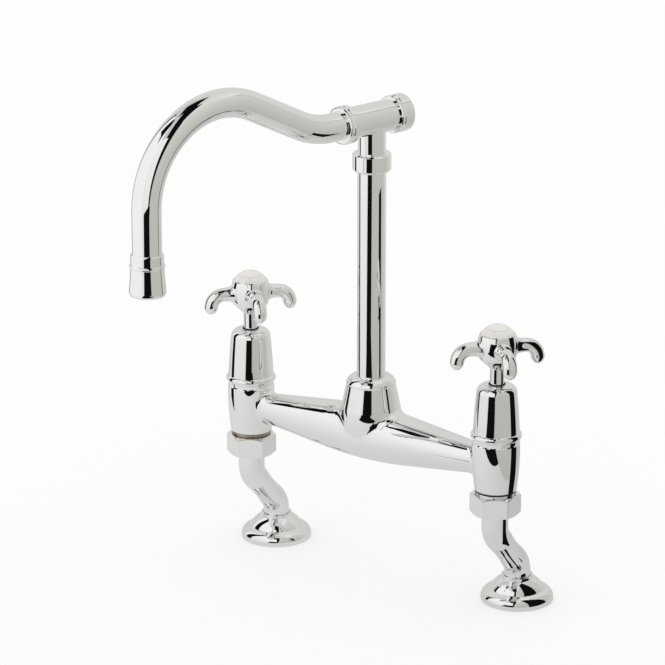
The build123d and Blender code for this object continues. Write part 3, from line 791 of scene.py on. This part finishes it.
def alongAndAhead(finish):
    # object coordinates turned to the camera's axis
    x, y, z = finish.axes()
    along = x * toRight.x + y * toRight.y - camera["target"].dot(toRight)
    ahead = x * toFront.x + y * toFront.y - camera["target"].dot(toFront)
    return along, ahead, z


def tinted(finish, tone, warmth):
    # the tone as a colour with that share of blue
    return finish.node("ShaderNodeCombineColor", {}, {0: tone, 1: tone, 2: tone * warmth})


def glow(finish, tone, warmth=1.0):
    # a surface that only lights what the plating reflects
    colour = tinted(finish, tone, warmth) if isinstance(tone, Signal) else (tone, tone, tone * warmth, 1)
    finish.set(Base_Color=(0, 0, 0, 1), Roughness=1.0, Specular_IOR_Level=0.0)
    finish.set(Emission_Color=colour, Emission_Strength=1.0)
    finish.material.cycles.emission_sampling = "NONE"
    return finish.material


def wallFinish(name, tones, warmth):
    finish = Finish("tent" + name)
    x, y, z = finish.axes()
    stops = [(share, (tone,) * 3) for share, tone in zip((0.0, tent["partWayUp"], 1.0), tones)]
    return glow(finish, finish.ramp(z / tent["height"], stops), warmth)


def roofFinish():
    finish = Finish("tentRoof")
    along, ahead, z = alongAndAhead(finish)
    held = finish.clamp(along, -tent["roofReach"], tent["roofReach"])
    return glow(finish, tent["roof"] + tent["roofSlope"] * held, tent["roofWarmth"])


def addPanel(name, points, material):
    mesh = bpy.data.meshes.new(name)
    mesh.from_pydata([tuple(point) for point in points], [], [tuple(range(len(points)))])
    mesh.materials.append(material)
    panel = bpy.data.objects.new(name, mesh)
    bpy.context.collection.objects.link(panel)
    panel.visible_camera = panel.visible_diffuse = panel.visible_shadow = False


def onWall(wall, right):
    # the place just inside a wall, that far to the right
    first, last = [tent["corners"][corner] for corner in tent["walls"][wall][:2]]
    share = (right - first[0]) / (last[0] - first[0])
    return tuple((a + (b - a) * share) * tent["inset"] for a, b in zip(first, last))


def addTent():
    corners, top = tent["corners"], tent["height"]
    dark = glow(Finish("tentDark"), tent["dark"])
    for wall, (first, last, tones) in tent["walls"].items():
        ends = (corners[first], corners[last])
        points = [tentPoint(ends[0]), tentPoint(ends[1]), tentPoint(ends[1], top), tentPoint(ends[0], top)]
        addPanel("tentWall" + wall, points, wallFinish(wall, tones, tent["warmth"][wall]))
    addPanel("tentRoofPanel", [tentPoint(place, top) for place in corners.values()], roofFinish())
    for index, (wall, foot, head, low, high) in enumerate(tent["patches"]):
        points = [(foot[0], low), (foot[1], low), (head[1], high), (head[0], high)]
        addPanel("tentPatch" + str(index), [tentPoint(onWall(wall, right), z) for right, z in points], dark)
    for index, (left, right, back, front) in enumerate(tent["roofHoles"]):
        outline = [(left, back), (right, back), (right, front), (left, front)]
        points = [tentPoint(place, top * tent["roofInset"]) for place in outline]
        addPanel("tentRoofHole" + str(index), points, dark)
    for index, (first, last, high) in enumerate(tent["posts"]):
        points = [tentPoint(first), tentPoint(last), tentPoint(last, high), tentPoint(first, high)]
        addPanel("tentPost" + str(index), points, dark)


addTent()
print("mixer tap: light tent")


# Floor and backdrop: the camera sees white paper, and the plating sees the shaded paper inside the tent

floorLook = {
    "size": 14.0,
    "paper": (1.0, 1.0, 0.995, 1),
    "shadowShare": 0.45,
    "white": 0.985,
    "tone": 0.685,
    "warmth": 0.985,
    "slope": -0.368,            # the floor is lighter on the left
    "reach": (-0.45, 0.6),
    "depthSlope": 0.10,
    "depthReach": (-0.4, 0.4),
    "frontEdge": 0.322,         # past this edge the floor is dark
    "edgeSkew": 0.16,
    "openFrom": -0.31,
}


def addFloor():
    bpy.ops.mesh.primitive_plane_add(size=floorLook["size"], location=(0, 0, 0))
    floor = bpy.context.object
    floor.name = "floor"
    finish = Finish("paperFloor")
    tree = finish.tree
    tree.nodes.remove(finish.surface)
    paper = finish.node("ShaderNodeBsdfDiffuse", {}, {"Color": floorLook["paper"]})
    white = finish.node("ShaderNodeEmission", {}, {"Color": (1, 1, 1, 1), "Strength": floorLook["white"]})
    shown = finish.node("ShaderNodeMixShader", {}, {0: 1 - floorLook["shadowShare"], 1: paper, 2: white})
    along, ahead, z = alongAndAhead(finish)
    acrossFloor = floorLook["slope"] * finish.clamp(along, *floorLook["reach"])
    intoFloor = floorLook["depthSlope"] * finish.clamp(ahead, *floorLook["depthReach"])
    outside = (ahead - floorLook["edgeSkew"] * along > floorLook["frontEdge"]) * (along > floorLook["openFrom"])
    tone = (floorLook["tone"] + acrossFloor + intoFloor) * (1 - outside) + tent["dark"]
    inside = tinted(finish, tone, floorLook["warmth"])
    lit = finish.node("ShaderNodeEmission", {}, {"Color": inside, "Strength": 1.0})
    seen = finish.node("ShaderNodeLightPath", output="Is Camera Ray")
    mixed = finish.node("ShaderNodeMixShader", {}, {0: seen, 1: lit, 2: shown})
    tree.links.new(mixed.socket, tree.nodes["Material Output"].inputs["Surface"])
    finish.material.cycles.emission_sampling = "NONE"
    floor.data.materials.append(finish.material)


addFloor()

world = bpy.data.worlds.new("studio")
bpy.context.scene.world = world
world.use_nodes = True
world.node_tree.nodes["Background"].inputs["Color"].default_value = (1, 1, 1, 1)
world.node_tree.nodes["Background"].inputs["Strength"].default_value = floorLook["white"]
print("mixer tap: floor and backdrop")
